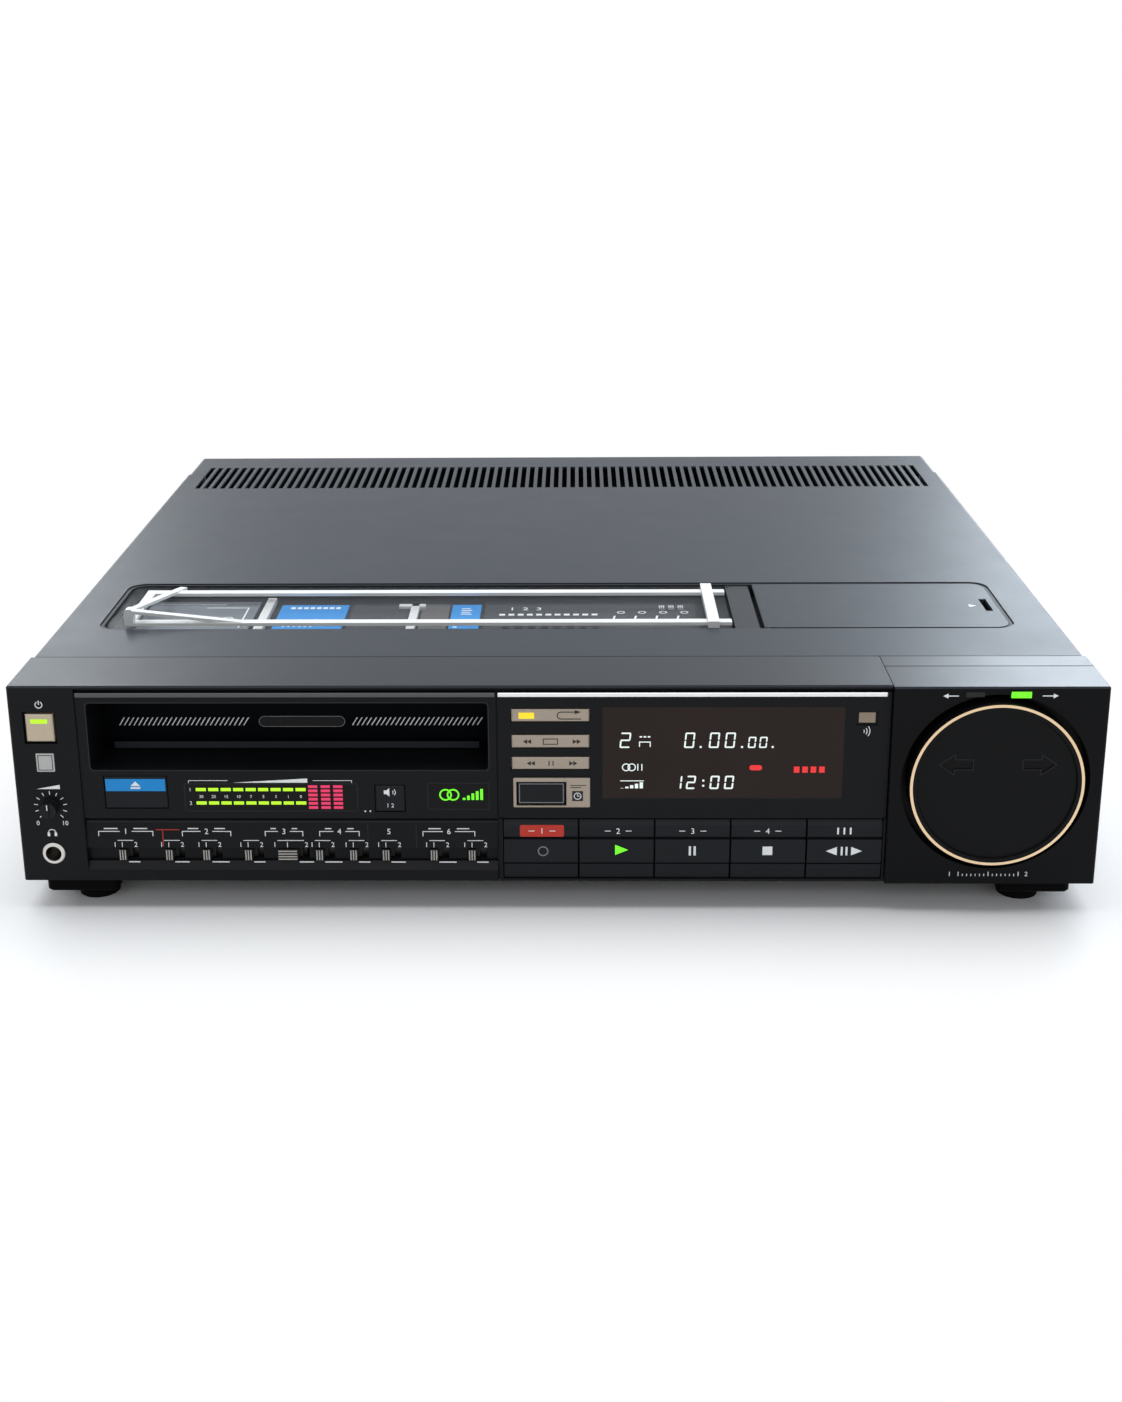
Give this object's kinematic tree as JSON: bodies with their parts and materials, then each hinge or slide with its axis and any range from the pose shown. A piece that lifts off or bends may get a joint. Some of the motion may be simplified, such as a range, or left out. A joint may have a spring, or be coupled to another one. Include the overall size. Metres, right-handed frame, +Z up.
{
  "type": "video cassette recorder",
  "caption": "Front-loading home video cassette recorder with a slate steel cover, black face, slide switches, big keys, a jog dial, a smoked display and a control bay in the top.",
  "frame": {"origin": "on the ground under the middle of the machine", "axes": "+X to the right seen from the front, +Y to the back, +Z up"},
  "size_m": [0.43, 0.4034, 0.1029],
  "materials": {
    "cover_paint": "satin slate paint on steel",
    "face_black": "satin black moulding",
    "dial_black": "fine satin black",
    "key_black": "satin black",
    "champagne": "satin champagne paint",
    "gold_trim": "polished gold anodised",
    "smoked_window": "smoked acrylic",
    "sensor_window": "tinted acrylic",
    "door_black": "satin black",
    "tray_black": "matt black",
    "lid_paint": "satin slate paint",
    "clear_acrylic": "clear acrylic",
    "white_plastic": "white moulding",
    "zinc_steel": "zinc plated sheet",
    "rear_black": "matt black paint",
    "socket_black": "matt black",
    "jack_metal": "plated brass",
    "screw_black": "black plated steel",
    "foot_black": "satin black",
    "foot_rubber": "matt rubber",
    "drum_aluminium": "turned aluminium",
    "flywheel_iron": "machined",
    "pinch_rubber": "ground rubber",
    "reel_plastic": "white moulding",
    "board_green": "lacquered glass fibre",
    "transformer_iron": "varnished laminations"
  },
  "bodies": {
    "chassis": {"top_cover": "cover_paint", "base_pan": "zinc_steel", "front_fascia": "face_black", "dial_housing": "face_black", "rear_panel": "rear_black", "foot_blocks": "foot_black", "rubber_feet": "foot_rubber", "cover_screws": "screw_black", "bay_tray": "tray_black", "meter_window": "smoked_window", "stereo_window": "smoked_window", "display_window": "smoked_window", "remote_window": "sensor_window", "timer_bezel": "champagne", "phones_jack": "jack_metal", "deck_plate": "zinc_steel", "lower_drum": "drum_aluminium", "main_board": "board_green", "power_board": "board_green", "transformer": "transformer_iron", "front_board": "board_green", "rear_sockets": "socket_black", "tuner_box": "zinc_steel"},
    "dial": {"jog_dial": "dial_black", "dial_ring": "gold_trim"},
    "door": {"cassette_door": "door_black"},
    "lid": {"preset_lid": "lid_paint"},
    "bay_cover": {"clear_cover": "clear_acrylic", "cover_rails": "white_plastic"},
    "knob": {"level_knob": "dial_black"},
    "sled": {"holder_sled": "zinc_steel"},
    "cage": {"cassette_cage": "zinc_steel"},
    "drum": {"upper_drum": "drum_aluminium"},
    "capstan": {"capstan_flywheel": "flywheel_iron"},
    "pinch": {"pinch_roller": "pinch_rubber"},
    "ring": {"loading_ring": "drum_aluminium"},
    "reel_left": {"supply_reel": "reel_plastic"},
    "reel_right": {"takeup_reel": "reel_plastic"},
    "power_push": {"power_button": "champagne"},
    "eject_push": {"eject_button": "key_black"},
    "monitor_push": {"monitor_button": "key_black"},
    "tape_return_push": {"tape_return_button": "champagne"},
    "search_bar_upper_push": {"search_bar_upper": "champagne"},
    "search_bar_lower_push": {"search_bar_lower": "champagne"},
    "timer_push": {"timer_button": "key_black"},
    "key_record_push": {"key_record": "key_black"},
    "key_play_push": {"key_play": "key_black"},
    "key_pause_push": {"key_pause": "key_black"},
    "key_stop_push": {"key_stop": "key_black"},
    "key_frame_push": {"key_frame": "key_black"},
    "lever_1": {"switch_lever_1": "champagne"},
    "lever_2": {"switch_lever_2": "champagne"},
    "lever_3": {"switch_lever_3": "champagne"},
    "lever_4": {"switch_lever_4": "champagne"},
    "lever_5": {"switch_lever_5": "champagne"},
    "lever_6": {"switch_lever_6": "champagne"},
    "lever_7": {"switch_lever_7": "champagne"},
    "lever_8": {"switch_lever_8": "champagne"},
    "lever_9": {"switch_lever_9": "champagne"},
    "lever_10": {"switch_lever_10": "champagne"}
  },
  "joints": [
    {"name": "power_push", "type": "slide", "parent": "chassis", "child": "power_push", "axis": [0, 1, 0], "range_m": [0, 0.002], "stiffness_N_per_m": 300},
    {"name": "eject_push", "type": "slide", "parent": "chassis", "child": "eject_push", "axis": [0, 1, 0], "range_m": [0, 0.002], "stiffness_N_per_m": 300},
    {"name": "monitor_push", "type": "slide", "parent": "chassis", "child": "monitor_push", "axis": [0, 1, 0], "range_m": [0, 0.002], "stiffness_N_per_m": 300},
    {"name": "tape_return_push", "type": "slide", "parent": "chassis", "child": "tape_return_push", "axis": [0, 1, 0], "range_m": [0, 0.002], "stiffness_N_per_m": 300},
    {"name": "search_bar_upper_push", "type": "slide", "parent": "chassis", "child": "search_bar_upper_push", "axis": [0, 1, 0], "range_m": [0, 0.002], "stiffness_N_per_m": 300},
    {"name": "search_bar_lower_push", "type": "slide", "parent": "chassis", "child": "search_bar_lower_push", "axis": [0, 1, 0], "range_m": [0, 0.002], "stiffness_N_per_m": 300},
    {"name": "timer_push", "type": "slide", "parent": "chassis", "child": "timer_push", "axis": [0, 1, 0], "range_m": [0, 0.002], "stiffness_N_per_m": 300},
    {"name": "key_record_push", "type": "slide", "parent": "chassis", "child": "key_record_push", "axis": [0, 1, 0], "range_m": [0, 0.002], "stiffness_N_per_m": 350},
    {"name": "key_play_push", "type": "slide", "parent": "chassis", "child": "key_play_push", "axis": [0, 1, 0], "range_m": [0, 0.002], "stiffness_N_per_m": 350},
    {"name": "key_pause_push", "type": "slide", "parent": "chassis", "child": "key_pause_push", "axis": [0, 1, 0], "range_m": [0, 0.002], "stiffness_N_per_m": 350},
    {"name": "key_stop_push", "type": "slide", "parent": "chassis", "child": "key_stop_push", "axis": [0, 1, 0], "range_m": [0, 0.002], "stiffness_N_per_m": 350},
    {"name": "key_frame_push", "type": "slide", "parent": "chassis", "child": "key_frame_push", "axis": [0, 1, 0], "range_m": [0, 0.002], "stiffness_N_per_m": 350},
    {"name": "lever_1_slide", "type": "slide", "parent": "chassis", "child": "lever_1", "axis": [1, 0, 0], "range_m": [0, 0.004]},
    {"name": "lever_2_slide", "type": "slide", "parent": "chassis", "child": "lever_2", "axis": [1, 0, 0], "range_m": [0, 0.004]},
    {"name": "lever_3_slide", "type": "slide", "parent": "chassis", "child": "lever_3", "axis": [1, 0, 0], "range_m": [0, 0.004]},
    {"name": "lever_4_slide", "type": "slide", "parent": "chassis", "child": "lever_4", "axis": [1, 0, 0], "range_m": [0, 0.004]},
    {"name": "lever_5_slide", "type": "slide", "parent": "chassis", "child": "lever_5", "axis": [1, 0, 0], "range_m": [0, 0.004]},
    {"name": "lever_6_slide", "type": "slide", "parent": "chassis", "child": "lever_6", "axis": [1, 0, 0], "range_m": [0, 0.004]},
    {"name": "lever_7_slide", "type": "slide", "parent": "chassis", "child": "lever_7", "axis": [1, 0, 0], "range_m": [0, 0.004]},
    {"name": "lever_8_slide", "type": "slide", "parent": "chassis", "child": "lever_8", "axis": [1, 0, 0], "range_m": [0, 0.004]},
    {"name": "lever_9_slide", "type": "slide", "parent": "chassis", "child": "lever_9", "axis": [1, 0, 0], "range_m": [0, 0.004]},
    {"name": "lever_10_slide", "type": "slide", "parent": "chassis", "child": "lever_10", "axis": [1, 0, 0], "range_m": [0, 0.004]},
    {"name": "level_turn", "type": "hinge", "parent": "chassis", "child": "knob", "pos_m": [-0.2014, -0.19625, 0.0451], "axis": [0, -1, 0], "range_deg": [-140, 140]},
    {"name": "dial_turn", "type": "hinge", "parent": "chassis", "child": "dial", "pos_m": [0.1728, -0.19625, 0.0563], "axis": [0, -1, 0], "continuous": true},
    {"name": "door_swing", "type": "hinge", "parent": "chassis", "child": "door", "pos_m": [-0.1052, -0.17165, 0.0898], "axis": [1, 0, 0], "range_deg": [0, 80], "stiffness_Nm_per_rad": 0.01},
    {"name": "lid_swing", "type": "hinge", "parent": "chassis", "child": "lid", "pos_m": [0.0904, -0.09295, 0.09515], "axis": [0, -1, 0], "range_deg": [0, 100]},
    {"name": "bay_cover_swing", "type": "hinge", "parent": "chassis", "child": "bay_cover", "pos_m": [-0.0591, -0.06445, 0.09455], "axis": [-1, 0, 0], "range_deg": [0, 95]},
    {"name": "sled_slide", "type": "slide", "parent": "chassis", "child": "sled", "axis": [0, 1, 0], "range_m": [0, 0.04]},
    {"name": "cage_drop", "type": "slide", "parent": "sled", "child": "cage", "axis": [0, 0, -1], "range_m": [0, 0.017]},
    {"name": "drum_spin", "type": "hinge", "parent": "chassis", "child": "drum", "pos_m": [-0.1052, 0.04375, 0.0406], "axis": [0, 0, 1], "continuous": true},
    {"name": "capstan_spin", "type": "hinge", "parent": "chassis", "child": "capstan", "pos_m": [-0.06, -0.01225, 0.0406], "axis": [0, 0, 1], "continuous": true},
    {"name": "pinch_spin", "type": "hinge", "parent": "chassis", "child": "pinch", "pos_m": [-0.046, -0.01825, 0.0406], "axis": [0, 0, 1], "continuous": true},
    {"name": "ring_turn", "type": "hinge", "parent": "chassis", "child": "ring", "pos_m": [-0.1052, 0.04375, 0.0406], "axis": [0, 0, 1], "range_deg": [0, 150]},
    {"name": "reel_left_spin", "type": "hinge", "parent": "chassis", "child": "reel_left", "pos_m": [-0.1397, -0.06975, 0.0406], "axis": [0, 0, 1], "continuous": true},
    {"name": "reel_right_spin", "type": "hinge", "parent": "chassis", "child": "reel_right", "pos_m": [-0.0707, -0.06975, 0.0406], "axis": [0, 0, 1], "continuous": true}
  ]
}
